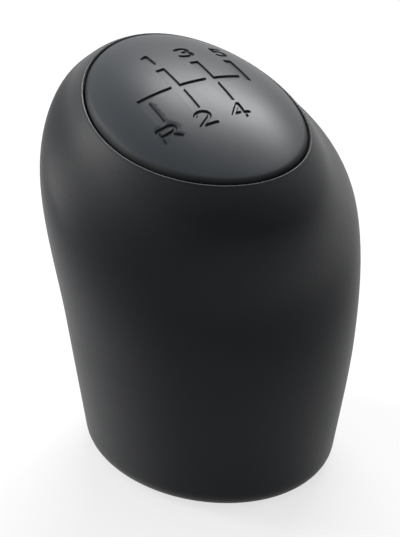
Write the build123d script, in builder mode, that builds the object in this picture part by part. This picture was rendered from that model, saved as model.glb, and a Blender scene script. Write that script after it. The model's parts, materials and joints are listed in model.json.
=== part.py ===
from build123d import *
from math import cos, radians, sin, sqrt
import os

# Gear shift knob for a floor lever: a leaning soft grip moulded round a hard lever socket,
# and a snap-in cap whose domed top carries the recessed gate pattern.
# Lengths are in millimetres and angles in degrees.
# +X is the driver's right, +Y is forward and +Z runs up the lever.
# The origin is the centre of the lever bore's mouth, in the plane of the base.

# Grip: oval stations from the base up, moved along Y by their shift
# and leaned about X so that the front edge rises
base_width = 42.4
base_depth = 50.2
base_edge_radius = 4.0
waist_height = 26.1
waist_width = 51.2
waist_depth = 56.1
waist_shift = -0.15
waist_lean = 4.5
girth_rise = 23.9
girth_width = 56.0
girth_depth = 62.7
girth_shift = 3.85
girth_lean = 18.6

# Crown: the ellipsoid that shapes the top of the grip round the cap
crown_lift = 3.4
crown_rise = 19.3
crown_shift = 5.85
crown_lean = 10.4
crown_side_shoulder = 4.0
crown_end_shoulder = 8.4

# The side runs into the crown at the shoulder's latitude; the pull is how much of the crown's
# own curve, in degrees, the side's tangent carries there
shoulder_latitude = 26
shoulder_pull = 31.5
shoulder_sample = 1
crown_latitudes = (34, 42, 50, 57, 63)

# In-between ovals that the loft takes on its way to each next station
station_steps = (4, 4, 4)

# Cap opening and the ledge that the cap sits on
opening_width = 37.6
opening_depth = 49.8
opening_shift = 1.25
seat_depth = 3.7
ledge_width = 4.0
lip_radius = 0.5

# Cap shell: its dome is flatter than the crown and meets it at the opening's sides and ends
dome_rise = 17.05
cap_gap = 0.35
cap_edge_radius = 1.6
cap_wall = 2.2
skirt_wall = 2.0

# Gate pattern: four gear columns joined by one cross channel
gate_pitch = 6.85
gate_reach = 6.8
gate_width = 1.6
gate_depth = 0.35
gate_shift = 1.35

# Snap legs under the cap, and the windows that they pass through
leg_width = 5.0
leg_thickness = 1.6
hook_overhang = 1.0
hook_height = 2.0
snap_clearance = 0.3
window_rim = 2.0

# Lever socket
bore_diameter = 12.0
bore_depth = 42.0
bore_chamfer = 0.5
socket_wall = 3.5
fin_height = 3.5
fin_thickness = 2.0
flange_thickness = 3.0
base_rim = 5.0
platform_thickness = 3.0

# Values that follow from the sizes above
crown_width = opening_width + 2 * crown_side_shoulder
crown_depth = opening_depth + 2 * crown_end_shoulder
girth_height = waist_height + girth_rise
crown_height = girth_height + crown_lift
opening_front = opening_shift + opening_depth / 2
opening_rear = opening_shift - opening_depth / 2
side_level = crown_rise * sqrt(1 - (opening_width / crown_width) ** 2 - (2 * opening_shift / crown_depth) ** 2)
front_level = crown_rise * sqrt(1 - (2 * opening_front / crown_depth) ** 2)
rear_level = crown_rise * sqrt(1 - (2 * opening_rear / crown_depth) ** 2)
front_share = sqrt(1 - (front_level / dome_rise) ** 2)
rear_share = sqrt(1 - (rear_level / dome_rise) ** 2)
dome_depth = 2 * opening_depth / (front_share + rear_share)
dome_shift = opening_front - front_share * dome_depth / 2
dome_offset = (opening_shift - dome_shift) / (dome_depth / 2)
dome_width = opening_width / sqrt(1 - (side_level / dome_rise) ** 2 - dome_offset**2)
seat_height = side_level - seat_depth
socket_radius = bore_diameter / 2 + socket_wall
platform_width = opening_width - 2 * ledge_width
platform_depth = opening_depth - 2 * ledge_width
side_reach = platform_width / 2 - window_rim - snap_clearance
end_reach = platform_depth / 2 - window_rim - snap_clearance
window_length = leg_thickness + hook_overhang + 2 * snap_clearance
window_width = leg_width + 2 * snap_clearance
side_window_spacing = 2 * (side_reach + snap_clearance) - window_length
end_window_spacing = 2 * (end_reach + snap_clearance) - window_length
chamber_length = window_length + hook_overhang
chamber_depth = platform_thickness + hook_height + 2 * snap_clearance
hook_top = -platform_thickness - snap_clearance


def leaned_plane(shift, height, lean):
    """Section plane on the grip's centre line, tipped so that its front edge rises."""
    return Plane(Location((0, shift, height), (lean, 0, 0)))


crown_plane = leaned_plane(crown_shift, crown_height, crown_lean)
dome_plane = Plane(crown_plane.location * Pos(0, dome_shift, 0))


def dome_form(inset):
    """The dome's ellipsoid, drawn in by a wall or a depth, with its poles on the X axis."""
    half_axes = (dome_width / 2 - inset, dome_depth / 2 - inset, dome_rise - inset)
    return dome_plane * scale(Rot(0, 90, 0) * Sphere(1), by=half_axes)


dome = dome_form(0)
dome_underside = dome_form(cap_wall)
leg_roots = dome_form(cap_wall / 2)
gate_floor = dome_form(gate_depth)

seat_plane = Plane(crown_plane.location * Pos(0, opening_shift, seat_height))
gate_plane = Plane(crown_plane.location * Pos(0, opening_shift + gate_shift, 0))
side_leg_plane = Plane(seat_plane.origin, x_dir=seat_plane.x_dir, z_dir=-seat_plane.y_dir)
end_leg_plane = Plane(seat_plane.origin, x_dir=seat_plane.y_dir, z_dir=seat_plane.x_dir)

# Lever socket: a blind tube on a base flange, with four fins that key it into the grip
# and a leaning platform that the cap's hooks catch under
with BuildPart() as lever_socket:
    with BuildSketch():
        Rectangle(2 * (socket_radius + fin_height), fin_thickness, rotation=45)
        Rectangle(2 * (socket_radius + fin_height), fin_thickness, rotation=-45)
    extrude(amount=crown_height + crown_rise)
    split(bisect_by=seat_plane, keep=Keep.BOTTOM)
    with BuildSketch():
        Circle(socket_radius)
    extrude(amount=bore_depth + socket_wall)
    with BuildSketch():
        Ellipse(base_width / 2 - base_rim, base_depth / 2 - base_rim)
    extrude(amount=flange_thickness)
    with BuildSketch(seat_plane):
        Ellipse(platform_width / 2, platform_depth / 2)
        with GridLocations(side_window_spacing, 0, 2, 1):
            Rectangle(window_length, window_width, mode=Mode.SUBTRACT)
        with GridLocations(0, end_window_spacing, 1, 2):
            Rectangle(window_width, window_length, mode=Mode.SUBTRACT)
    extrude(amount=-platform_thickness)
    with BuildSketch():
        Circle(bore_diameter / 2)
    extrude(amount=bore_depth, mode=Mode.SUBTRACT)
    bore_mouth = edges().filter_by(GeomType.CIRCLE).group_by(Axis.Z)[0]
    chamfer(bore_mouth, bore_chamfer)
lever_socket.part.label = "lever_socket"


def crown_oval(latitude):
    """Oval of the crown at a latitude: shift, height, lean, width and depth."""
    level = crown_plane.offset(crown_rise * sin(radians(latitude))).origin
    narrowing = cos(radians(latitude))
    return (level.Y, level.Z, crown_lean, crown_width * narrowing, crown_depth * narrowing)


# Stations of the grip: shift, height, lean, width and depth of each oval
girth = (girth_shift, girth_height, girth_lean, girth_width, girth_depth)
stations = [
    (0, 0, 0, base_width, base_depth),
    (waist_shift, waist_height, waist_lean, waist_width, waist_depth),
    girth,
    crown_oval(shoulder_latitude),
]
below = crown_oval(shoulder_latitude - shoulder_sample)
above = crown_oval(shoulder_latitude + shoulder_sample)
guide = [g + shoulder_pull * (a - b) / shoulder_sample for g, a, b in zip(girth, above, below)]
stations.append(guide)


def oval_between(index, t):
    """Oval at share t of the way from one station to the next, on a Catmull-Rom curve."""
    here = stations[index]
    after = stations[index + 1]
    before = stations[index - 1] if index > 0 else [2 * a - b for a, b in zip(here, after)]
    beyond = stations[index + 2]
    return [
        a + t * (b - w) / 2 + t**2 * (w - 2.5 * a + 2 * b - z / 2) + t**3 * (1.5 * a - 1.5 * b + (z - w) / 2)
        for w, a, b, z in zip(before, here, after, beyond)
    ]


ovals = [oval_between(i, step / steps) for i, steps in enumerate(station_steps) for step in range(steps)]
ovals += [crown_oval(latitude) for latitude in (shoulder_latitude, *crown_latitudes)]

# Grip: a loft up the leaning ovals, opened for the cap, with room under the windows for the hooks
with BuildPart() as grip_body:
    for shift, height, lean, width, depth in ovals:
        with BuildSketch(leaned_plane(shift, height, lean)):
            Ellipse(width / 2, depth / 2)
    loft()
    fillet(edges().group_by(Axis.Z)[0], base_edge_radius)
    with BuildSketch(seat_plane):
        Ellipse(opening_width / 2, opening_depth / 2)
    extrude(amount=2 * crown_rise, mode=Mode.SUBTRACT)
    lip = edges().filter_by(GeomType.BSPLINE).sort_by(Axis.Z)[-1]
    fillet(lip, lip_radius)
    with BuildSketch():
        Circle(socket_radius)
    extrude(amount=bore_depth, mode=Mode.SUBTRACT)
    add(lever_socket.part, mode=Mode.SUBTRACT)
    with BuildSketch(seat_plane):
        with GridLocations(side_window_spacing + hook_overhang, 0, 2, 1):
            Rectangle(chamber_length, window_width)
        with GridLocations(0, end_window_spacing + hook_overhang, 1, 2):
            Rectangle(window_width, chamber_length)
    extrude(amount=-chamber_depth, mode=Mode.SUBTRACT)
grip_body.part.label = "grip_body"

# Snap legs: two at the sides and two at the ends, rising to the middle of the dome's wall
with BuildPart() as snap_legs:
    for leg_plane, reach, mirror_plane in (
        (side_leg_plane, side_reach, end_leg_plane),
        (end_leg_plane, end_reach, side_leg_plane),
    ):
        with BuildSketch(leg_plane):
            with BuildLine():
                Polyline(
                    (reach - leg_thickness, crown_rise),
                    (reach, crown_rise),
                    (reach, hook_top),
                    (reach + hook_overhang, hook_top),
                    (reach, hook_top - hook_height),
                    (reach - leg_thickness, hook_top - hook_height),
                    close=True,
                )
            make_face()
        leg = extrude(amount=leg_width / 2, both=True)
        mirror(leg, about=mirror_plane)
    add(leg_roots, mode=Mode.INTERSECT)

# Gate cutter: the pattern's prism, standing on the dome lowered by the channel depth
with BuildPart() as gate_cutter:
    with BuildSketch(gate_plane):
        Rectangle(3 * gate_pitch + gate_width, gate_width)
        with GridLocations(gate_pitch, 0, 2, 1):
            Rectangle(gate_width, 2 * gate_reach)
        with Locations((-1.5 * gate_pitch, 0)):
            Rectangle(gate_width, gate_reach, align=(Align.CENTER, Align.MAX))
        with Locations((1.5 * gate_pitch, 0)):
            Rectangle(gate_width, gate_reach, align=(Align.CENTER, Align.MIN))
    extrude(amount=2 * crown_rise)
    add(gate_floor, mode=Mode.SUBTRACT)

# Hollow under the cap: the room inside the skirt, up to the dome's underside
with BuildPart() as cap_hollow:
    with BuildSketch(seat_plane):
        Ellipse(opening_width / 2 - cap_gap - skirt_wall, opening_depth / 2 - cap_gap - skirt_wall)
    extrude(amount=2 * crown_rise)
    add(dome_underside, mode=Mode.INTERSECT)

# Cap: a thin dome that meets the grip's crown at the rim, standing on its skirt
with BuildPart() as shift_pattern_cap:
    with BuildSketch(seat_plane):
        Ellipse(opening_width / 2 - cap_gap, opening_depth / 2 - cap_gap)
    extrude(amount=2 * crown_rise)
    add(dome, mode=Mode.INTERSECT)
    cap_rim = edges().filter_by(GeomType.BSPLINE).sort_by(Axis.Z)[-1]
    fillet(cap_rim, cap_edge_radius)
    add(cap_hollow.part, mode=Mode.SUBTRACT)
    add(gate_cutter.part, mode=Mode.SUBTRACT)
    add(snap_legs.part)
shift_pattern_cap.part.label = "shift_pattern_cap"

os.makedirs("parts", exist_ok=True)
for piece in (grip_body, lever_socket, shift_pattern_cap):
    export_step(piece.part, f"parts/{piece.part.label}.step")
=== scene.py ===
"""Looks of the gear shift knob: the soft grip, the lever socket and the shift-pattern cap.

Sizes in the classes are in millimetres and angles in degrees. Meshes are made in metres in the
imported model's frame: +X is the driver's right, +Y is forward and +Z runs up the lever.
"""

from __future__ import annotations

import json
import logging
import math
from dataclasses import astuple, dataclass, field, fields, replace
from enum import Enum
from typing import ClassVar, Iterable, Mapping, Sequence, Union

import bmesh
import bpy
from mathutils import Matrix, Quaternion, Vector
from mathutils.geometry import delaunay_2d_cdt

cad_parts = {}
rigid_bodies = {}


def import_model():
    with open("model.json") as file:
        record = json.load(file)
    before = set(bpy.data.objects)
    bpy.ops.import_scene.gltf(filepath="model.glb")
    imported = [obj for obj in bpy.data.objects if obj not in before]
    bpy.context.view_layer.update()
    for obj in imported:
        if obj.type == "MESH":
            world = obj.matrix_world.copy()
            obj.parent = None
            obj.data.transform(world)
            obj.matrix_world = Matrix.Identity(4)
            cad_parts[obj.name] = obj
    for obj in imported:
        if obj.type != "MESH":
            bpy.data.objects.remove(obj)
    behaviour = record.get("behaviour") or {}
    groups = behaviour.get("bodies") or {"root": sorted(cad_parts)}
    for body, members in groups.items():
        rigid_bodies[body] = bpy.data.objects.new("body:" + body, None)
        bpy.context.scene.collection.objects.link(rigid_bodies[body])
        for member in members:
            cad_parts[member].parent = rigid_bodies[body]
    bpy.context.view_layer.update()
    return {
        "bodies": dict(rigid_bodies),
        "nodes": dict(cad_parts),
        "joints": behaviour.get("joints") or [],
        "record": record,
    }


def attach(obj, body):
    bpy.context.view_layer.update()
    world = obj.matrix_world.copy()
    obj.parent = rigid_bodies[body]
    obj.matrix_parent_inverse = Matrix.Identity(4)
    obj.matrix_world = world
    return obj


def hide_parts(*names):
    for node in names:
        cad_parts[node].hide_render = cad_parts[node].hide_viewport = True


MM = 0.001
BODY = "root"
WHITE = (1.0, 1.0, 1.0, 1.0)
LOG = logging.getLogger("gear_shift_knob")

Colour = tuple[float, float, float]
Feeds = Mapping[Union[int, str], object]
Material = bpy.types.Material
Piece = bpy.types.Object
Point = tuple[float, float]
Socket = bpy.types.NodeSocket
Value = Union[float, Socket]


class CadNode(Enum):
    """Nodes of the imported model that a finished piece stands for."""

    GRIP = "grip_body"
    SOCKET = "lever_socket"
    CAP = "shift_pattern_cap"


class Slot(Enum):
    """Material slots of the record."""

    GRIP = "soft_grip"
    SOCKET = "socket_plastic"
    CAP = "cap_plastic"


class Attribute(Enum):
    """Mesh attributes that the finishes and the node trees read."""

    # Share of an edge colour: rubbing with a painted highlight on the grip's lip, painted shade on
    # the cap's rim.
    WEAR = "wear"
    DEPTH = "depth"


@dataclass(frozen=True)
class Ring:
    """One oval of a loft, drawn in a plane that leans about X."""

    shift: float
    height: float
    lean: float
    half_width: float
    half_depth: float
    offset: float = 0.0
    dome: float = 0.0
    level: float = 0.0
    wear: float = 0.0


@dataclass(frozen=True)
class Dome:
    """Ellipsoid over a leaned plane, centred on that plane."""

    half_width: float
    half_depth: float
    rise: float
    shift: float = 0.0

    def level(self, x: float, y: float) -> float:
        """Gives the dome's height over a place in its plane."""
        across, along = x / self.half_width, (y - self.shift) / self.half_depth
        return self.rise * math.sqrt(1 - across**2 - along**2)


@dataclass(frozen=True)
class CrownFrame:
    """Leaned plane that the crown, the opening and the cap are drawn in."""

    shift: float = 5.85
    height: float = 53.4
    lean: float = 10.4
    opening_width: float = 37.1
    opening_depth: float = 49.3
    opening_shift: float = 1.25
    seat_level: float = 7.195

    def ring(self, inset: float, dome: float, level: float, wear: float = 0.0) -> Ring:
        """Draws an oval that follows the opening's edge.

        Args:
            inset: Distance that the oval is drawn in from the opening.
            dome: 1 to lift the oval onto the dome, 0 to leave it flat.
            level: Lift along the plane's normal.
            wear: Share of the edge colour on the oval, which stands for rubbing and painted light.

        Returns:
            The ring.
        """
        plane = (self.shift, self.height, self.lean)
        half_width, half_depth = self.opening_width / 2 - inset, self.opening_depth / 2 - inset
        return Ring(*plane, half_width, half_depth, self.opening_shift, dome, level, wear)

    def matrix(self) -> Matrix:
        """Gives the turn and place of the plane in space, from millimetres to metres."""
        place = Matrix.Translation((0, self.shift, self.height))
        return Matrix.Scale(MM, 4) @ place @ Matrix.Rotation(math.radians(self.lean), 4, "X")


def link(name: str, data: bpy.types.ID) -> Piece:
    """Adds an object that holds a mesh, a lamp or a camera to the scene."""
    bpy.context.scene.collection.objects.link(made := bpy.data.objects.new(name, data))
    return made


def heading(azimuth: float, elevation: float) -> Vector:
    """Gives the way from the knob to a lamp or the camera."""
    turn, rise = math.radians(azimuth), math.radians(elevation)
    return Vector(
        (math.sin(turn) * math.cos(rise), -math.cos(turn) * math.cos(rise), math.sin(rise))
    )


def spaced(line: Sequence[Vector], spacing: float) -> list[Point]:
    """Adds points along the straights of a line, up to its last point but without it."""
    runs = [(a, b, math.ceil((b - a).length / spacing) or 1) for a, b in zip(line, line[1:])]
    return [a.lerp(b, step / steps)[:] for a, b, steps in runs for step in range(steps)]


class NodeGraph:
    """Adds and links the nodes of one tree."""

    # Inputs and result of a Mix node, which holds those for each kind of value side by side.
    MIX_SOCKETS = {"FLOAT": ((0, 2, 3), 0), "RGBA": ((0, 6, 7), 2)}

    def __init__(self, tree: bpy.types.NodeTree) -> None:
        """Keeps the tree that the nodes go into."""
        self.tree = tree

    def add(self, kind: str, feeds: Feeds | None = None, **settings: object) -> bpy.types.Node:
        """Adds a node, sets its options and feeds its inputs.

        Args:
            kind: Blender's name of the node type.
            feeds: Source or value of each input that is fed, by name or number.
            **settings: Options of the node.

        Returns:
            The new node.
        """
        node = self.tree.nodes.new(kind)
        for name, setting in settings.items():
            setattr(node, name, setting)
        for key, value in (feeds or {}).items():
            self.feed(node.inputs[key], value)
        return node

    def feed(self, socket: Socket, value: object) -> None:
        """Links a socket, or sets its constant.

        Args:
            socket: Input that is fed.
            value: Output socket of another node, or a plain value.
        """
        if isinstance(value, Socket):
            self.tree.links.new(value, socket)
        else:
            socket.default_value = value

    def math(self, operation: str, *values: Value) -> Socket:
        """Adds a Math node and gives its result."""
        return self.add("ShaderNodeMath", dict(enumerate(values)), operation=operation).outputs[0]

    def mix(self, kind: str, *values: object, blend: str = "MIX") -> Socket:
        """Mixes two numbers or two colours by the share that stands before them."""
        inputs, result = self.MIX_SOCKETS[kind]
        return self.add(
            "ShaderNodeMix", dict(zip(inputs, values)), data_type=kind, blend_type=blend
        ).outputs[result]

    def attribute(self, name: Attribute) -> Socket:
        """Reads an attribute of the piece."""
        return self.add("ShaderNodeAttribute", attribute_name=name.value).outputs["Fac"]

    def noise(self, places: Socket, cell: float, octaves: float) -> Socket:
        """Adds a noise texture, whose value lies between 0 and 1."""
        feeds = {"Vector": places, "Scale": 1 / (cell * MM), "Detail": octaves}
        return self.add("ShaderNodeTexNoise", feeds).outputs["Fac"]

    def swing(self, noise: Socket, amount: float, middle: Value) -> Socket:
        """Lets a value swing about its middle with a noise."""
        return self.math("MULTIPLY_ADD", self.math("SUBTRACT", noise, 0.5), amount, middle)


class SurfaceTree:
    """Geometry Nodes tree that puts a flat drawing onto a leaned plane or the dome over it."""

    DOME_INPUTS = ("Dome Half Width", "Dome Half Depth", "Dome Rise", "Dome Shift")
    PLANE_INPUTS = ("Plane Shift", "Plane Height", "Plane Lean")

    def __init__(self, name: str, numbers: Sequence[str], counts: Sequence[str] = ()) -> None:
        """Makes the tree's interface.

        Args:
            name: Name of the tree.
            numbers: Names of its float inputs.
            counts: Names of its whole-number inputs.
        """
        self.tree = bpy.data.node_groups.new(name, "GeometryNodeTree")
        self.graph = NodeGraph(self.tree)
        face = self.tree.interface
        face.new_socket(name="Geometry", in_out="OUTPUT", socket_type="NodeSocketGeometry")
        kinds = {"Geometry": "Geometry", **dict.fromkeys(counts, "Int")}
        kinds.update(dict.fromkeys(numbers, "Float"), Material="Material")
        for label, kind in kinds.items():
            face.new_socket(name=label, in_out="INPUT", socket_type=f"NodeSocket{kind}")
        self.source = self.graph.add("NodeGroupInput").outputs
        self.sink = self.graph.add("NodeGroupOutput").inputs

    def attribute(self, name: str) -> Socket:
        """Reads a named attribute of the drawing."""
        return self.graph.add("GeometryNodeInputNamedAttribute", {"Name": name}).outputs[0]

    def flat_place(self) -> list[Socket]:
        """Gives the sockets of a point's X and Y in the flat drawing."""
        position = self.graph.add("GeometryNodeInputPosition").outputs[0]
        return self.graph.add("ShaderNodeSeparateXYZ", {0: position}).outputs[:2]

    def dome_lift(self, x: Value, y: Value) -> Socket:
        """Gives the dome's height over a place in its plane.

        Args:
            x: Place along the plane's width.
            y: Place along the plane's depth.

        Returns:
            The height's socket.
        """
        work = self.graph.math
        half_width, half_depth, rise, shift = (self.source[label] for label in self.DOME_INPUTS)
        rest: Value = 1.0
        for place, half in ((x, half_width), (work("SUBTRACT", y, shift), half_depth)):
            rest = work("SUBTRACT", rest, work("POWER", work("DIVIDE", place, half), 2.0))
        return work("MULTIPLY", work("SQRT", work("MAXIMUM", rest, 0.0)), rise)

    def leaned(self, x: Value, y: Value, lift: Value, plane: Sequence[Value]) -> Socket:
        """Gives the place in space of a point drawn on a leaned plane.

        Args:
            x: Place along the plane's width.
            y: Place along the plane's depth.
            lift: Height over the plane.
            plane: Places of the plane along Y and Z, and its angle about X.

        Returns:
            The vector's socket.
        """
        work = self.graph.math
        shift, height, lean = plane
        cosine, sine = work("COSINE", lean), work("SINE", lean)
        forward = work("SUBTRACT", work("MULTIPLY", y, cosine), work("MULTIPLY", lift, sine))
        upward = work("ADD", work("MULTIPLY", y, sine), work("MULTIPLY", lift, cosine))
        spot = {"X": x, "Y": work("ADD", shift, forward), "Z": work("ADD", height, upward)}
        return self.graph.add("ShaderNodeCombineXYZ", spot).outputs["Vector"]

    def send(self, geometry: Socket, kind: str, feeds: Feeds | None = None) -> Socket:
        """Sends geometry through one node."""
        feeds = {"Geometry": geometry, **(feeds or {})}
        return self.graph.add(f"GeometryNode{kind}", feeds).outputs["Geometry"]

    def close(self, geometry: Socket) -> None:
        """Ends the tree with smooth shading, realised instances and the material.

        Args:
            geometry: Socket of the finished geometry.
        """
        geometry = self.send(geometry, "SetShadeSmooth")
        geometry = self.send(geometry, "RealizeInstances")
        geometry = self.send(geometry, "SetMaterial", {"Material": self.source["Material"]})
        self.graph.feed(self.sink["Geometry"], geometry)

    def apply(self, piece: Piece, dome: Dome, material: Material, more: dict[str, float]) -> None:
        """Runs the tree on a piece once and leaves its result as a plain mesh.

        Args:
            piece: Object whose mesh goes through the tree.
            dome: Dome that the tree lifts points onto.
            material: Finish of the piece.
            more: Values of the tree's own inputs.
        """
        values = {label: size * MM for label, size in zip(self.DOME_INPUTS, astuple(dome))}
        values.update(more, Material=material)
        modifier = piece.modifiers.new(self.tree.name, "NODES")
        modifier.node_group = self.tree
        for item in self.tree.interface.items_tree:
            if item.in_out == "INPUT" and item.name in values:
                modifier[item.identifier] = values[item.name]
        depsgraph = bpy.context.evaluated_depsgraph_get()
        made = bpy.data.meshes.new_from_object(
            piece.evaluated_get(depsgraph), preserve_all_data_layers=True, depsgraph=depsgraph
        )
        piece.modifiers.clear()
        made.materials.clear()
        made.materials.append(material)
        piece.data = made


class OvalLoft(SurfaceTree):
    """Tree that skins the ovals held by a mesh's vertices, each vertex being one ring."""

    WELD = 0.002 * MM
    UNITS = {"lean": math.radians(1), "dome": 1.0, "wear": 1.0}

    def __init__(self) -> None:
        """Builds the tree."""
        super().__init__("oval_loft", self.DOME_INPUTS, ("Segments",))
        graph, work, held = self.graph, self.graph.math, {"Geometry": self.source["Geometry"]}
        count = graph.add("GeometryNodeAttributeDomainSize", held).outputs["Point Count"]
        columns = work("ADD", self.source["Segments"], 1.0)
        grid = graph.add("GeometryNodeMeshGrid", {"Vertices X": columns, "Vertices Y": count})
        across, along = (work("ADD", part, 0.5) for part in self.flat_place())
        turn = work("MULTIPLY", across, 2 * math.pi)
        self.index = work("ROUND", work("MULTIPLY", along, work("SUBTRACT", count, 1.0)))
        ring = {item.name: self.sample(item.name) for item in fields(Ring)}
        x = work("MULTIPLY", ring["half_width"], work("COSINE", turn))
        y = work("ADD", ring["offset"], work("MULTIPLY", ring["half_depth"], work("SINE", turn)))
        lift = work("ADD", work("MULTIPLY", ring["dome"], self.dome_lift(x, y)), ring["level"])
        spot = self.leaned(x, y, lift, (ring["shift"], ring["height"], ring["lean"]))
        wear = {"Name": Attribute.WEAR.value, "Value": ring["wear"]}
        skin = self.send(grid.outputs["Mesh"], "StoreNamedAttribute", wear)
        skin = self.send(skin, "SetPosition", {"Position": spot})
        self.close(self.send(skin, "MergeByDistance", {"Distance": self.WELD}))

    def sample(self, name: str) -> Socket:
        """Reads one value of the ring that a grid point belongs to."""
        held = {"Geometry": self.source["Geometry"], "Value": self.attribute(name)}
        return self.graph.add("GeometryNodeSampleIndex", {**held, "Index": self.index}).outputs[0]

    def skin(
        self, name: str, rings: Sequence[Ring], dome: Dome, segments: int, material: Material
    ) -> Piece:
        """Makes a piece from its rings.

        Args:
            name: Name of the piece.
            rings: Ovals in order along the surface.
            dome: Dome that the lifted ovals lie on.
            segments: Steps round each oval.
            material: Finish of the piece.

        Returns:
            The piece as a plain mesh.
        """
        mesh = bpy.data.meshes.new(name)
        mesh.vertices.add(len(rings))
        for item in fields(Ring):
            held = mesh.attributes.new(item.name, "FLOAT", "POINT")
            scale = self.UNITS.get(item.name, MM)
            held.data.foreach_set("value", [getattr(ring, item.name) * scale for ring in rings])
        piece = link(name, mesh)
        self.apply(piece, dome, material, {"Segments": segments})
        return piece


class DomeDrape(SurfaceTree):
    """Tree that lifts a flat, engraved drawing onto the dome."""

    def __init__(self) -> None:
        """Builds the tree."""
        super().__init__("dome_drape", self.DOME_INPUTS + self.PLANE_INPUTS)
        x, y = self.flat_place()
        depth = self.attribute(Attribute.DEPTH.value)
        lift = self.graph.math("SUBTRACT", self.dome_lift(x, y), depth)
        spot = self.leaned(x, y, lift, [self.source[label] for label in self.PLANE_INPUTS])
        self.close(self.send(self.source["Geometry"], "SetPosition", {"Position": spot}))

    def drape(self, piece: Piece, dome: Dome, frame: CrownFrame, material: Material) -> None:
        """Lifts a flat piece, with a depth on each vertex, onto the dome over the plane."""
        plane = (frame.shift * MM, frame.height * MM, math.radians(frame.lean))
        self.apply(piece, dome, material, dict(zip(self.PLANE_INPUTS, plane)))


def settle(parts: Sequence[Piece], sharp_angle: float, weld: float = 0.0) -> None:
    """Joins parts into the first one, turns its faces outwards and keeps its hard edges crisp.

    Args:
        parts: Piece that is settled, and the parts that go into it.
        sharp_angle: Angle between faces above which their edge is hard.
        weld: Distance under which vertices are joined.
    """
    work = bmesh.new()
    for part in parts:
        work.from_mesh(part.data)
    if weld:
        bmesh.ops.remove_doubles(work, verts=work.verts, dist=weld * MM)
    bmesh.ops.recalc_face_normals(work, faces=work.faces)
    limit = math.radians(sharp_angle)
    for edge in work.edges:
        edge.smooth = len(edge.link_faces) == 2 and edge.calc_face_angle() < limit
    for face in work.faces:
        face.smooth, face.material_index = True, 0
    work.to_mesh(parts[0].data)
    work.free()
    for part in parts[1:]:
        bpy.data.objects.remove(part)


@dataclass
class SubAssembly:
    """Part of the knob whose piece stands for one CAD node."""

    NODE: ClassVar[CadNode]
    SLOT: ClassVar[Slot]

    piece: Piece = field(init=False)

    def dress(self) -> None:
        """Puts the finished piece on the knob's body in place of its CAD node."""
        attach(self.piece, BODY)
        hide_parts(self.NODE.value)


@dataclass(frozen=True)
class MouldedFinish:
    """Moulded plastic or rubber with grain, uneven gloss and an edge colour that is partly rubbing
    and partly painted light (a painted highlight on the grip's lip, painted shade on the cap's
    rim); engraved walls are rougher and darkened with painted shade.
    """

    name: str
    colour: Colour
    roughness: float
    specular: float
    grain_size: float
    grain_depth: float
    gloss_patch: float
    gloss_swing: float
    tone_swing: float
    wear_colour: Colour
    wear_roughness: float
    sheen: float = 0.0
    engraving: float = 0.0
    grain_octaves: float = 2.0
    patch_octaves: float = 3.0
    wear_base: float = 0.55
    wall_gain: float = 8.0
    # Colour factor on engraved walls: painted shade.
    wall_tone: float = 0.2
    wall_roughness: float = 0.9

    def material(self) -> Material:
        """Builds the finish's node material.

        Returns:
            The material.
        """
        made = bpy.data.materials.new(self.name)
        made.use_nodes = True
        graph = NodeGraph(made.node_tree)
        shader = made.node_tree.nodes["Principled BSDF"].inputs
        places = graph.add("ShaderNodeTexCoord").outputs["Object"]
        grain = graph.noise(places, self.grain_size, self.grain_octaves)
        patches = graph.noise(places, self.gloss_patch, self.patch_octaves)
        # Edge colour along the mesh's edge mask, broken up by patches: rubbing with a painted
        # highlight on the grip, painted shade on the cap's rim.
        broken = graph.math("ADD", self.wear_base, patches)
        wear_and_light_share = graph.math("MULTIPLY", graph.attribute(Attribute.WEAR), broken)
        wear_and_light_share, wall = graph.math("MINIMUM", wear_and_light_share, 1.0), self.wall_share(graph)
        uneven = graph.swing(patches, self.gloss_swing, self.roughness)
        speckled = graph.swing(grain, self.gloss_swing, uneven)
        rubbed = graph.mix("FLOAT", wear_and_light_share, speckled, self.wear_roughness)
        mottled = graph.swing(patches, self.tone_swing, 1.0)
        # Engraved walls are darkened in colour: painted shade in the recesses, on top of the random
        # mottling.
        shade = graph.mix("FLOAT", wall, mottled, self.wall_tone)
        toned = graph.mix("RGBA", 1.0, (*self.colour, 1.0), shade, blend="MULTIPLY")
        relief = {"Strength": 1.0, "Distance": self.grain_depth * MM, "Height": grain}
        looks = {
            "Base Color": graph.mix("RGBA", wear_and_light_share, toned, (*self.wear_colour, 1.0)),
            "Roughness": graph.mix("FLOAT", wall, rubbed, self.wall_roughness),
            "Normal": graph.add("ShaderNodeBump", relief).outputs["Normal"],
            "Specular IOR Level": self.specular,
            "Sheen Weight": self.sheen,
        }
        for label, value in looks.items():
            graph.feed(shader[label], value)
        return made

    def wall_share(self, graph: NodeGraph) -> Value:
        """Gives the share of an engraving's wall, which is 0 on its floor and on the face; it
        darkens the wall as painted shade and roughens it.

        Args:
            graph: Graph of the material.

        Returns:
            The share's socket, or 0 for a finish without an engraving.
        """
        if not self.engraving:
            return 0.0
        share = graph.math("DIVIDE", graph.attribute(Attribute.DEPTH), self.engraving * MM)
        hump = graph.math("MULTIPLY", share, graph.math("SUBTRACT", 1.0, share))
        return graph.math("MINIMUM", graph.math("MULTIPLY", hump, self.wall_gain), 1.0)


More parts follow.
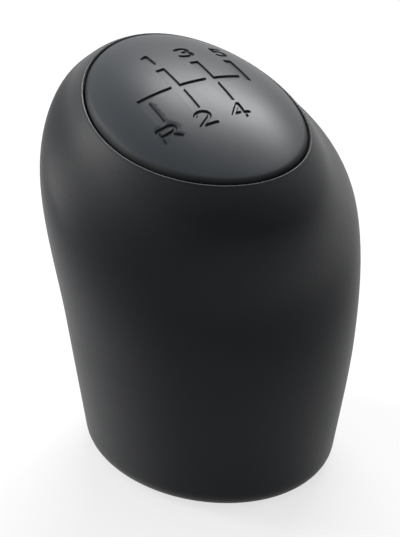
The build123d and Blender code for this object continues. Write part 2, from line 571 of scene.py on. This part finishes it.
SOFT_TOUCH = MouldedFinish(
    name="soft_touch_black",
    colour=(0.008, 0.009, 0.011),
    roughness=0.46,
    specular=0.12,
    grain_size=0.5,
    grain_depth=0.03,
    gloss_patch=14.0,
    gloss_swing=0.08,
    tone_swing=0.2,
    # Lighter edge colour on the grip's lip and crown: rubbing and a painted highlight.
    wear_colour=(0.06, 0.062, 0.066),
    wear_roughness=0.22,
    sheen=0.08,
)
SATIN_SLATE = MouldedFinish(
    name="satin_slate",
    colour=(0.016, 0.021, 0.027),
    roughness=0.37,
    specular=0.35,
    grain_size=0.12,
    grain_depth=0.006,
    gloss_patch=9.0,
    gloss_swing=0.06,
    tone_swing=0.1,
    # Darker edge colour on the cap's rim: painted shade.
    wear_colour=(0.004, 0.005, 0.006),
    wear_roughness=0.85,
    engraving=0.35,
)
PLAIN_BLACK = MouldedFinish(
    name="plain_moulded_black",
    colour=(0.02, 0.02, 0.021),
    roughness=0.45,
    specular=0.4,
    grain_size=0.3,
    grain_depth=0.01,
    gloss_patch=7.0,
    gloss_swing=0.1,
    tone_swing=0.15,
    wear_colour=(0.03, 0.03, 0.031),
    wear_roughness=0.35,
)


@dataclass
class Grip(SubAssembly):
    """Leaning soft grip, skinned as one closed loop of ovals from the base's inner edge."""

    NODE, SLOT = CadNode.GRIP, Slot.GRIP
    SPANS = 3
    HALVINGS = 40
    LATITUDE_STEP = 1.0

    frame: CrownFrame
    base: Ring = Ring(0.0, 0.0, 0.0, 21.2, 25.1)
    waist: Ring = Ring(-0.15, 26.1, 4.5, 25.6, 28.05)
    girth: Ring = Ring(3.85, 50.0, 18.6, 28.0, 31.35)
    crown: Dome = Dome(22.8, 33.3, 19.3)
    shoulder_latitude: float = 26.0
    shoulder_pull: float = 31.5
    base_radius: float = 4.0
    base_rim: float = 5.0
    base_draft: float = 8.0
    lip_radius: float = 0.28
    lip_slope: float = 43.0
    crown_wear: float = 0.15
    seam: float = 0.25
    ledge_width: float = 3.75
    platform_thickness: float = 3.0
    flange_thickness: float = 3.0
    socket_radius: float = 9.5
    tube_top: float = 40.0
    sharp_angle: float = 40.0
    side_steps: int = 18
    crown_steps: int = 8
    arc_steps: int = 9
    segments: int = 200

    def crown_oval(self, latitude: float) -> Ring:
        """Draws the crown's oval at a latitude.

        Args:
            latitude: Angle over the crown's plane.

        Returns:
            The ring.
        """
        angle, lean = math.radians(latitude), math.radians(self.frame.lean)
        rise = self.crown.rise * math.sin(angle)
        return Ring(
            self.frame.shift - rise * math.sin(lean),
            self.frame.height + rise * math.cos(lean),
            self.frame.lean,
            self.crown.half_width * math.cos(angle),
            self.crown.half_depth * math.cos(angle),
        )

    def side_oval(self, place: float) -> Ring:
        """Draws an oval of the side on its Catmull-Rom rule.

        Args:
            place: 0 at the base, 1 at the waist, 2 at the girth and 3 at the shoulder.

        Returns:
            The ring.
        """
        stations = [self.base, self.waist, self.girth, self.crown_oval(self.shoulder_latitude)]
        below = self.crown_oval(self.shoulder_latitude - self.LATITUDE_STEP)
        above = self.crown_oval(self.shoulder_latitude + self.LATITUDE_STEP)
        index = min(int(place), self.SPANS - 1)
        t = place - index
        made = {}
        for name in ("shift", "height", "lean", "half_width", "half_depth"):
            line = [getattr(station, name) for station in stations]
            climb = getattr(above, name) - getattr(below, name)
            line.append(line[2] + self.shoulder_pull * climb)
            line.insert(0, 2 * line[0] - line[1])
            w, a, b, z = line[index : index + 4]
            bend = t**2 * (w - 2.5 * a + 2 * b - z / 2) + t**3 * (1.5 * a - 1.5 * b + (z - w) / 2)
            made[name] = a + t * (b - w) / 2 + bend
        return Ring(**made)

    def side_place(self, height: float) -> float:
        """Finds where the side's ovals reach a height near the base.

        Args:
            height: Height over the base, below the waist's.

        Returns:
            The place on the side's rule.
        """
        low, high = 0.0, 1.0
        for _ in range(self.HALVINGS):
            middle = (low + high) / 2
            low, high = (middle, high) if self.side_oval(middle).height < height else (low, middle)
        return low

    def base_rings(self) -> list[Ring]:
        """Draws the base: a chamfered inner edge, the flat rim and the rounded outer edge.

        Returns:
            The rings, from the inner edge out and up.
        """
        width, depth = self.base.half_width - self.base_rim, self.base.half_depth - self.base_rim
        inner = Ring(0, self.seam, 0, width, depth)
        rings = [inner, Ring(0, 0, 0, width + self.seam, depth + self.seam)]
        turn = 90 - self.base_draft
        reach = self.base_radius * math.tan(math.radians(turn / 2))
        for step in range(self.arc_steps + 1):
            angle = math.radians(turn * step / self.arc_steps)
            height = self.base_radius * (1 - math.cos(angle))
            wall = height * math.tan(math.radians(self.base_draft))
            gap = reach - self.base_radius * math.sin(angle) + wall
            oval = self.side_oval(self.side_place(height))
            sides = (oval.half_width - gap, oval.half_depth - gap)
            rings.append(Ring(oval.shift, height, oval.lean, *sides))
        return rings

    def side_rings(self) -> list[Ring]:
        """Draws the side from the rounded base edge up to the shoulder.

        Returns:
            The rings, from the base up.
        """
        turn = math.radians(90 - self.base_draft)
        start = self.side_place(self.base_radius * (1 - math.cos(turn)))
        count = self.SPANS * self.side_steps
        way = self.SPANS - start
        return [self.side_oval(start + way * step / count) for step in range(1, count)]

    def crown_rings(self) -> list[Ring]:
        """Draws the crown from the shoulder in to the lip, and the lip's rounded edge.

        Returns:
            The rings, from the shoulder to the pocket's wall.
        """
        slope, radius = math.radians(self.lip_slope), self.lip_radius
        edge = self.frame.ring(-radius * (1 + math.sin(slope)), 1, 0)
        shoulder = self.crown_oval(self.shoulder_latitude)
        start = (shoulder.half_width, shoulder.half_depth, shoulder.offset)
        finish = (edge.half_width, edge.half_depth, edge.offset)
        rings = []
        for step in range(self.crown_steps):
            share = step / self.crown_steps
            spot = [a + (b - a) * share for a, b in zip(start, finish)]
            wear = self.crown_wear * share
            rings.append(Ring(edge.shift, edge.height, edge.lean, *spot, dome=1, wear=wear))
        drop = radius * (math.tan(slope) + 1 / math.cos(slope))
        for step in range(self.arc_steps + 1):
            angle = slope - (slope + math.pi / 2) * step / self.arc_steps
            outward = radius * (1 + math.sin(angle))
            level = radius * math.cos(angle) - drop + outward * math.tan(slope)
            # The lip's crest takes the lighter edge colour: polishing from use and a painted
            # highlight.
            lip_polish_and_highlight = math.sin(math.pi * step / self.arc_steps)
            rings.append(self.frame.ring(-outward, 1, level, lip_polish_and_highlight))
        return rings

    def inner_rings(self) -> list[Ring]:
        """Draws the pocket and the rooms for the socket's platform and tube.

        Returns:
            The rings, from the ledge down to the flange's room.
        """
        seat, frame, hole = self.frame.seat_level, self.frame, self.socket_radius
        room = seat - self.platform_thickness
        return [
            frame.ring(0, 0, seat),
            frame.ring(self.ledge_width, 0, seat),
            frame.ring(self.ledge_width, 0, room),
            Ring(frame.shift, frame.height, frame.lean, hole, hole, level=room),
            Ring(0, self.tube_top, 0, hole, hole),
            Ring(0, self.flange_thickness, 0, hole, hole),
        ]

    def build(self, loft: OvalLoft, material: Material) -> None:
        """Skins the grip.

        Args:
            loft: Tree that skins ovals.
            material: Finish of the grip.
        """
        base = self.base_rings()
        flange = replace(base[0], height=self.flange_thickness)
        rings = base + self.side_rings() + self.crown_rings() + self.inner_rings()
        rings += [flange, base[0]]
        self.piece = loft.skin("grip", rings, self.crown, self.segments, material)
        settle([self.piece], self.sharp_angle)


@dataclass(frozen=True)
class Stroke:
    """Line of a sign, cut with a round tool."""

    MITRE = 0.5
    ARC_STEPS = 12
    END_STEPS = 6

    points: tuple[Point, ...]

    @classmethod
    def arc(cls, centre: Point, radius: Point, start: float, end: float) -> tuple[Point, ...]:
        """Draws the points of an arc.

        Args:
            centre: Middle of the arc.
            radius: Radii along X and Y.
            start: First angle.
            end: Last angle.

        Returns:
            The points.
        """
        made = []
        for step in range(cls.ARC_STEPS + 1):
            turn = math.radians(start + (end - start) * step / cls.ARC_STEPS)
            x, y = radius[0] * math.cos(turn), radius[1] * math.sin(turn)
            made.append((centre[0] + x, centre[1] + y))
        return tuple(made)

    def placed(self, centre: Point, size: float, spacing: float) -> "Stroke":
        """Scales the stroke to its size on the cap and adds points along its straights."""
        line = [Vector((centre[0] + x * size, centre[1] + y * size)) for x, y in self.points]
        return Stroke((*spaced(line, spacing), line[-1][:]))

    def outline(self, half_width: float) -> list[Point]:
        """Draws the stroke's edge, with round ends.

        Args:
            half_width: Half of the stroke's width.

        Returns:
            The closed edge's points, anticlockwise.
        """
        line = [Vector(p) for p in self.points]
        runs = [(b - a).normalized() for a, b in zip(line, line[1:])]
        sides = []
        for before, after in zip([runs[0], *runs], [*runs, runs[-1]]):
            along = (before + after).normalized()
            reach = half_width / max(along.dot(after), self.MITRE)
            sides.append(Vector((-along.y, along.x)) * reach)
        edge = []
        for row, ways in ((line, sides), (line[::-1], [-side for side in sides[::-1]])):
            edge += [p + side for p, side in zip(row, ways)]
            tip, side = row[-1], ways[-1]
            for step in range(1, self.END_STEPS):
                angle = -math.pi * step / self.END_STEPS
                cosine, sine = math.cos(angle), math.sin(angle)
                turned = (side.x * cosine - side.y * sine, side.x * sine + side.y * cosine)
                edge.append(tip + Vector(turned))
        return [p[:] for p in reversed(edge)]


class Sign(Enum):
    """Gear signs, each drawn about its middle in a box about one unit high."""

    ONE = (
        Stroke(((0.02, -0.4), (0.02, 0.4))),
        Stroke(((0.02, 0.4), (-0.17, 0.31))),
    )
    TWO = (
        Stroke(Stroke.arc((0.02, 0.22), (0.32, 0.27), 165, -35) + ((-0.32, -0.38),)),
        Stroke(((-0.3, -0.4), (0.43, -0.4))),
    )
    THREE = (
        Stroke(Stroke.arc((0.0, 0.2), (0.29, 0.2), 150, -90)),
        Stroke(Stroke.arc((0.0, -0.2), (0.34, 0.2), 90, -150)),
    )
    FOUR = (
        Stroke(((0.2, 0.48), (-0.3, -0.13), (0.43, -0.15))),
        Stroke(((0.2, 0.48), (0.18, -0.4))),
    )
    FIVE = (
        Stroke(((0.31, 0.32), (-0.12, 0.32), (-0.14, -0.03))),
        Stroke(((-0.14, -0.03),) + Stroke.arc((0.07, -0.23), (0.25, 0.25), 110, -145)),
    )
    REVERSE = (
        Stroke(((-0.38, -0.4), (-0.38, 0.42))),
        Stroke(((-0.38, 0.42),) + Stroke.arc((0.1, 0.21), (0.28, 0.21), 90, -90) + ((-0.38, 0.0),)),
        Stroke(((0.02, 0.0), (0.42, -0.4))),
    )


@dataclass(frozen=True)
class Tier:
    """Contour of an engraving: how far it stands out from the drawn edge, and its depth."""

    offset: float
    depth_share: float


@dataclass
class PatternCap(SubAssembly):
    """Domed snap-in cap with its recessed shift gate and gear signs."""

    NODE, SLOT = CadNode.CAP, Slot.CAP
    INSIDE_FACES = 1
    JOIN_DISTANCE = 1e-6
    BOX_ROUND = ((0, 0), (1, 0), (1, 1), (0, 1), (0, 0))
    LEG_WAYS = ((1, 0), (0, 1), (-1, 0), (0, -1))
    FRONT_SIGNS = ((Sign.ONE, -0.5), (Sign.THREE, 0.5), (Sign.FIVE, 1.5))
    REAR_SIGNS = ((Sign.REVERSE, -1.5), (Sign.TWO, -0.5), (Sign.FOUR, 0.5))

    frame: CrownFrame
    dome: Dome = Dome(24.503, 37.8, 17.05, -0.814)
    gap: float = 0.35
    edge_radius: float = 1.6
    edge_slope: float = 28.0
    rim_fade: float = 0.6
    wall: float = 2.2
    skirt_wall: float = 2.0
    under_drop: float = 0.4
    gate_pitch: float = 6.85
    gate_reach: float = 6.8
    gate_width: float = 1.6
    gate_depth: float = 0.35
    gate_shift: float = 1.35
    sign_size: float = 4.0
    sign_width: float = 0.66
    front_row: float = 12.05
    rear_row: float = -8.5
    tiers: tuple[Tier, ...] = (Tier(0.1, 0.0), Tier(0.05, 0.1), Tier(-0.16, 1.0))
    leg_width: float = 5.0
    leg_thickness: float = 1.6
    side_reach: float = 12.5
    end_reach: float = 18.6
    hook_top: float = -3.3
    hook_overhang: float = 1.0
    hook_height: float = 2.0
    spacing: float = 0.7
    grid: float = 0.9
    grid_border: float = 0.6
    sign_margin: float = 0.45
    sharp_angle: float = 32.0
    weld: float = 0.004
    segments: int = 200
    arc_steps: int = 8
    under_steps: int = 8

    def rim_rings(self) -> list[Ring]:
        """Draws the cap from its face's edge round the rim, down the skirt and up under the dome.

        Returns:
            The rings, ending at the middle of the underside.
        """
        slope, radius = math.radians(self.edge_slope), self.edge_radius
        drop = radius * (1 / math.cos(slope) - math.tan(slope))
        rings = []
        for step in range(self.arc_steps + 1):
            angle = slope + (math.pi / 2 - slope) * step / self.arc_steps
            inset = radius * (1 - math.sin(angle))
            level = radius * math.cos(angle) - drop - inset * math.tan(slope)
            # The rim rolls into a darker, rougher edge colour along this share: painted shade, with
            # a rougher gloss.
            rim_dullness_and_shade = math.sin(math.pi / 2 * step / self.arc_steps) ** self.rim_fade
            rings.append(self.frame.ring(self.gap + inset, 1, level, rim_dullness_and_shade))
        seat, inner = self.frame.seat_level, self.gap + self.skirt_wall
        rings += [self.frame.ring(self.gap, 0, seat), self.frame.ring(inner, 0, seat)]
        under = self.frame.ring(inner, 1, 0)
        for step in range(self.under_steps + 1):
            share = 1 - step / self.under_steps
            width, depth = under.half_width * share, under.half_depth * share
            level = -self.wall - self.under_drop * share**2
            rings.append(replace(under, half_width=width, half_depth=depth, level=level))
        return rings

    def gate_lines(self) -> list[tuple[Point, Point]]:
        """Draws the gate's channels as boxes.

        Returns:
            The lowest and highest corner of each box.
        """
        half, pitch, reach = self.gate_width / 2, self.gate_pitch, self.gate_reach
        spans = ((-1.5, -reach, 0), (-0.5, -reach, reach), (0.5, -reach, reach), (1.5, 0, reach))
        middle = self.gate_shift
        boxes = [((-1.5 * pitch - half, middle - half), (1.5 * pitch + half, middle + half))]
        for place, low, high in spans:
            left, right = place * pitch - half, place * pitch + half
            boxes.append(((left, middle + low), (right, middle + high)))
        return boxes

    def sign_strokes(self) -> list[Stroke]:
        """Places the gear signs beside the gate's ends.

        Returns:
            The strokes of all the signs.
        """
        strokes, size = [], self.sign_size
        for row, signs in ((self.front_row, self.FRONT_SIGNS), (self.rear_row, self.REAR_SIGNS)):
            for sign, column in signs:
                centre = (column * self.gate_pitch, row)
                strokes += [line.placed(centre, size, self.spacing) for line in sign.value]
        return strokes

    def box_edge(self, low: Point, high: Point, offset: float) -> list[Point]:
        """Draws the edge that stands outside a box by an offset, with points along its sides."""
        xs, ys = ((a - offset, b + offset) for a, b in zip(low, high))
        return spaced([Vector((xs[i], ys[j])) for i, j in self.BOX_ROUND], self.spacing)

    def grid_points(self, rim: Ring) -> list[Point]:
        """Draws the plain grid that carries the dome between the engravings.

        Args:
            rim: Oval of the face's edge.

        Returns:
            The points inside the face that lie clear of every engraved edge.
        """
        made, margin, boxes = [], self.sign_margin, self.gate_lines()
        dots = [point for stroke in self.sign_strokes() for point in stroke.points]
        reach = self.sign_width / 2 + margin
        row_height = self.grid * math.sqrt(0.75)
        rows, columns = int(rim.half_depth / row_height) + 1, int(rim.half_width / self.grid) + 2
        width, depth = rim.half_width - self.grid_border, rim.half_depth - self.grid_border
        for row in range(-rows, rows + 1):
            for column in range(-columns, columns + 1):
                x, y = (column + 0.5 * (row % 2)) * self.grid, row * row_height
                in_box = any(
                    a - margin < x < c + margin and b - margin < y < d + margin
                    for (a, b), (c, d) in boxes
                )
                in_sign = any(math.hypot(x - px, y - py) <= reach for px, py in dots)
                inside = (x / width) ** 2 + (y / depth) ** 2 < 1
                if inside and not in_box and not in_sign:
                    made.append((x, y))
        return made

    def face(self) -> Piece:
        """Draws the cap's face flat, with the depth of each engraved vertex.

        Returns:
            The flat face.
        """
        rim = self.rim_rings()[0]
        turns = [2 * math.pi * step / self.segments for step in range(self.segments)]
        edge = [(rim.half_width * math.cos(a), rim.half_depth * math.sin(a)) for a in turns]
        ranked, points, faces = [(0, edge)], [], []
        boxes, strokes, half = self.gate_lines(), self.sign_strokes(), self.sign_width / 2
        for rank, tier in enumerate(self.tiers, 1):
            ranked += [(rank, self.box_edge(*box, tier.offset)) for box in boxes]
            ranked += [(rank, stroke.outline(half + tier.offset)) for stroke in strokes]
        for _, contour in ranked:
            faces.append(list(range(len(points), len(points) + len(contour))))
            points += contour
        points += self.grid_points(rim)
        verts, _, tris, _, _, owners = delaunay_2d_cdt(
            [Vector(p) for p in points], [], faces, self.INSIDE_FACES, self.JOIN_DISTANCE
        )
        lowest = [len(self.tiers)] * len(verts)
        for tri, held in zip(tris, owners):
            rank = max((ranked[owner][0] for owner in held), default=0)
            for index in tri:
                lowest[index] = min(lowest[index], rank)
        shares = [0.0, *(tier.depth_share for tier in self.tiers[1:]), 1.0]
        mesh = bpy.data.meshes.new("cap_face")
        spots = [(p.x * MM, (p.y + self.frame.opening_shift) * MM, 0.0) for p in verts]
        mesh.from_pydata(spots, [], tris)
        depths = mesh.attributes.new(Attribute.DEPTH.value, "FLOAT", "POINT")
        depths.data.foreach_set("value", [shares[rank] * self.gate_depth * MM for rank in lowest])
        return link("cap_face", mesh)

    def leg_mesh(self) -> bpy.types.Mesh:
        """Makes the four snap legs as closed prisms.

        Returns:
            The legs' mesh.
        """
        half_width, half_depth, rise, shift = astuple(self.dome)
        under = Dome(half_width - self.wall, half_depth - self.wall, rise - self.wall, shift)
        centre, seat = self.frame.opening_shift, self.frame.seat_level
        top, foot = seat + self.hook_top, seat + self.hook_top - self.hook_height
        work = bmesh.new()
        for way, reach in zip(map(Vector, self.LEG_WAYS), (self.side_reach, self.end_reach) * 2):
            inner, hook = reach - self.leg_thickness, reach + self.hook_overhang
            section = [(reach, top), (hook, top), (reach, foot), (inner, foot)]
            for place in (reach, inner):
                root = under.level(way.x * place, way.y * place + centre) + self.wall / 2
                section.insert(0, (place, root))
            aside = Vector((-way.y, way.x)) * self.leg_width / 2
            sides = []
            for side in (-aside, aside):
                flats = [(way * place + side, level) for place, level in section]
                sides.append([work.verts.new((p.x, p.y + centre, level)) for p, level in flats])
            near, far = sides
            work.faces.new(near)
            work.faces.new(far[::-1])
            for quad in zip(near, far, far[1:] + far[:1], near[1:] + near[:1]):
                work.faces.new(quad)
        mesh = bpy.data.meshes.new("cap_legs")
        work.to_mesh(mesh)
        work.free()
        mesh.transform(self.frame.matrix())
        return mesh

    def build(self, loft: OvalLoft, drape: DomeDrape, material: Material) -> None:
        """Skins the cap, drapes its engraved face on the dome and adds the legs.

        Args:
            loft: Tree that skins ovals.
            drape: Tree that lifts the face.
            material: Finish of the cap.
        """
        self.piece = loft.skin("pattern_cap", self.rim_rings(), self.dome, self.segments, material)
        face = self.face()
        drape.drape(face, self.dome, self.frame, material)
        legs = link("cap_legs", self.leg_mesh())
        settle([self.piece, face, legs], self.sharp_angle, self.weld)


@dataclass
class LeverSocket(SubAssembly):
    """Hard insert with the lever's bore, taken from its CAD solid."""

    NODE, SLOT = CadNode.SOCKET, Slot.SOCKET

    weld: float = 0.001
    flat_angle: float = 0.5
    sharp_angle: float = 35.0

    def build(self, node: Piece, material: Material) -> None:
        """Copies the CAD solid, joins its faces and merges its flat ones.

        Args:
            node: CAD node that is copied.
            material: Finish of the socket.
        """
        work = bmesh.new()
        work.from_mesh(node.data)
        bmesh.ops.remove_doubles(work, verts=work.verts, dist=self.weld * MM)
        flat = math.radians(self.flat_angle)
        bmesh.ops.dissolve_limit(work, angle_limit=flat, verts=work.verts, edges=work.edges)
        mesh = bpy.data.meshes.new("lever_insert")
        work.to_mesh(mesh)
        work.free()
        mesh.materials.append(material)
        self.piece = link("lever_insert", mesh)
        settle([self.piece], self.sharp_angle)


@dataclass(frozen=True)
class Softbox:
    """Rectangular studio lamp that faces the knob, rolled about its own axis."""

    name: str
    azimuth: float
    elevation: float
    distance: float
    size: Point
    power: float
    roll: float = 0.0

    def build(self, aim: Vector) -> None:
        """Hangs the lamp.

        Args:
            aim: Place that the lamp faces.
        """
        lamp = bpy.data.lights.new(self.name, "AREA")
        lamp.shape = "RECTANGLE"
        lamp.size, lamp.size_y = (side * MM for side in self.size)
        lamp.energy = self.power
        stand = link(self.name, lamp)
        way = heading(self.azimuth, self.elevation)
        stand.location = aim + way * self.distance * MM
        stand.rotation_mode = "QUATERNION"
        tilt = Quaternion((0.0, 0.0, 1.0), math.radians(self.roll))
        stand.rotation_quaternion = way.to_track_quat("Z", "Y") @ tilt


@dataclass
class Studio:
    """White floor, plain light and the camera at the photograph's angle."""

    azimuth: float = -28.706
    elevation: float = 28.405
    distance: float = 700.0
    aim_height: float = 35.0
    focal_pixels: float = 3898.86
    frame_pixels: Point = (400.0, 537.0)
    middle_pixels: Point = (209.472, 272.641)
    sensor: float = 36.0
    clip: Point = (10.0, 20000.0)
    floor_size: float = 6000.0
    floor_gap: float = 0.05
    floor_colour: float = 0.86
    floor_glow: float = 0.7
    back_light: float = 1.0
    front_light: float = 0.35
    lamps: tuple[Softbox, ...] = (
        Softbox("overhead_softbox", 140.0, 45.0, 900.0, (620.0, 160.0), 6.4, 28.0),
        Softbox("left_softbox", -136.0, 12.0, 800.0, (260.0, 700.0), 6.2),
    )

    def build(self) -> None:
        """Sets up the floor, the lamps, the world, the camera and the view."""
        self.lay_floor()
        for lamp in self.lamps:
            lamp.build(Vector((0, 0, self.aim_height * MM)))
        self.light_world()
        self.place_camera()
        bpy.context.scene.view_settings.view_transform = "Standard"

    def lay_floor(self) -> None:
        """Lays the pale floor, which keeps the knob's shadow."""
        half, low = self.floor_size * MM / 2, -self.floor_gap * MM
        corners = [(-half, -half, low), (half, -half, low), (half, half, low), (-half, half, low)]
        mesh = bpy.data.meshes.new("floor")
        mesh.from_pydata(corners, [], [(0, 1, 2, 3)])
        floor = link("floor", mesh)
        paint = bpy.data.materials.new("floor_white")
        paint.use_nodes = True
        paint.node_tree.nodes.clear()
        graph = NodeGraph(paint.node_tree)
        matte = graph.add("ShaderNodeBsdfDiffuse", {"Color": (*(self.floor_colour,) * 3, 1.0)})
        glow = graph.add("ShaderNodeEmission", {"Color": WHITE})
        # The glow shows to rays that see the floor and not to those that only light the knob.
        path = graph.add("ShaderNodeLightPath").outputs
        seen = graph.math("MAXIMUM", path["Is Camera Ray"], path["Is Glossy Ray"])
        seen = graph.math("MAXIMUM", seen, path["Is Transmission Ray"])
        share = graph.math("MULTIPLY", seen, self.floor_glow)
        layers = {0: share, 1: matte.outputs[0], 2: glow.outputs[0]}
        mixed = graph.add("ShaderNodeMixShader", layers)
        graph.add("ShaderNodeOutputMaterial", {"Surface": mixed.outputs[0]})
        mesh.materials.append(paint)

    def light_world(self) -> None:
        """Makes the sky an even light that falls off towards the camera's side of the studio."""
        world = bpy.data.worlds.new("studio")
        world.use_nodes = True
        bpy.context.scene.world = world
        graph = NodeGraph(world.node_tree)
        turn = math.radians(self.azimuth)
        ways = graph.add("ShaderNodeTexCoord").outputs["Generated"]
        ahead = {0: ways, 1: (-math.sin(turn), math.cos(turn), 0.0)}
        facing = graph.add("ShaderNodeVectorMath", ahead, operation="DOT_PRODUCT")
        ends = {
            "Value": facing.outputs["Value"],
            "From Min": -1.0,
            "From Max": 1.0,
            "To Min": self.front_light,
            "To Max": self.back_light,
        }
        fall = graph.add("ShaderNodeMapRange", ends, interpolation_type="SMOOTHSTEP")
        sky = world.node_tree.nodes["Background"].inputs
        graph.feed(sky["Color"], WHITE)
        graph.feed(sky["Strength"], fall.outputs["Result"])

    def place_camera(self) -> None:
        """Places the camera so that the knob stands as in the photograph."""
        lens = bpy.data.cameras.new("camera")
        lens.sensor_width = self.sensor
        lens.lens = self.focal_pixels * self.sensor / max(self.frame_pixels)
        lens.clip_start, lens.clip_end = (end * MM for end in self.clip)
        turn = math.radians(self.azimuth)
        back = heading(self.azimuth, self.elevation)
        right = Vector((math.cos(turn), math.sin(turn), 0.0))
        up = back.cross(right)
        scale = self.distance / self.focal_pixels
        aside = (self.frame_pixels[0] / 2 - self.middle_pixels[0]) * scale
        below = (self.middle_pixels[1] - self.frame_pixels[1] / 2) * scale
        aim = Vector((0, 0, self.aim_height)) + right * aside + up * below
        camera = link("camera", lens)
        camera.location = (aim + back * self.distance) * MM
        camera.rotation_mode = "QUATERNION"
        camera.rotation_quaternion = back.to_track_quat("Z", "Y")
        bpy.context.scene.camera = camera


def clear_scene() -> None:
    """Removes the objects that a new Blender file starts with."""
    for item in list(bpy.data.objects):
        bpy.data.objects.remove(item)


def report(piece: Piece) -> None:
    """Logs a finished piece's name and triangle count."""
    triangles = sum(len(face.vertices) - 2 for face in piece.data.polygons)
    LOG.info("%s: %d triangles", piece.name, triangles)


def main() -> None:
    """Builds and dresses the knob, then sets up the studio."""
    logging.basicConfig(level=logging.INFO, format="%(name)s: %(message)s")
    clear_scene()
    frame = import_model()
    loft, drape = OvalLoft(), DomeDrape()
    plane = CrownFrame()
    grip, cap, socket = Grip(plane), PatternCap(plane), LeverSocket()
    grip.build(loft, SOFT_TOUCH.material())
    socket.build(frame["nodes"][CadNode.SOCKET.value], PLAIN_BLACK.material())
    cap.build(loft, drape, SATIN_SLATE.material())
    for part in (grip, socket, cap):
        part.dress()
        report(part.piece)
    Studio().build()


if __name__ == "__main__":
    main()
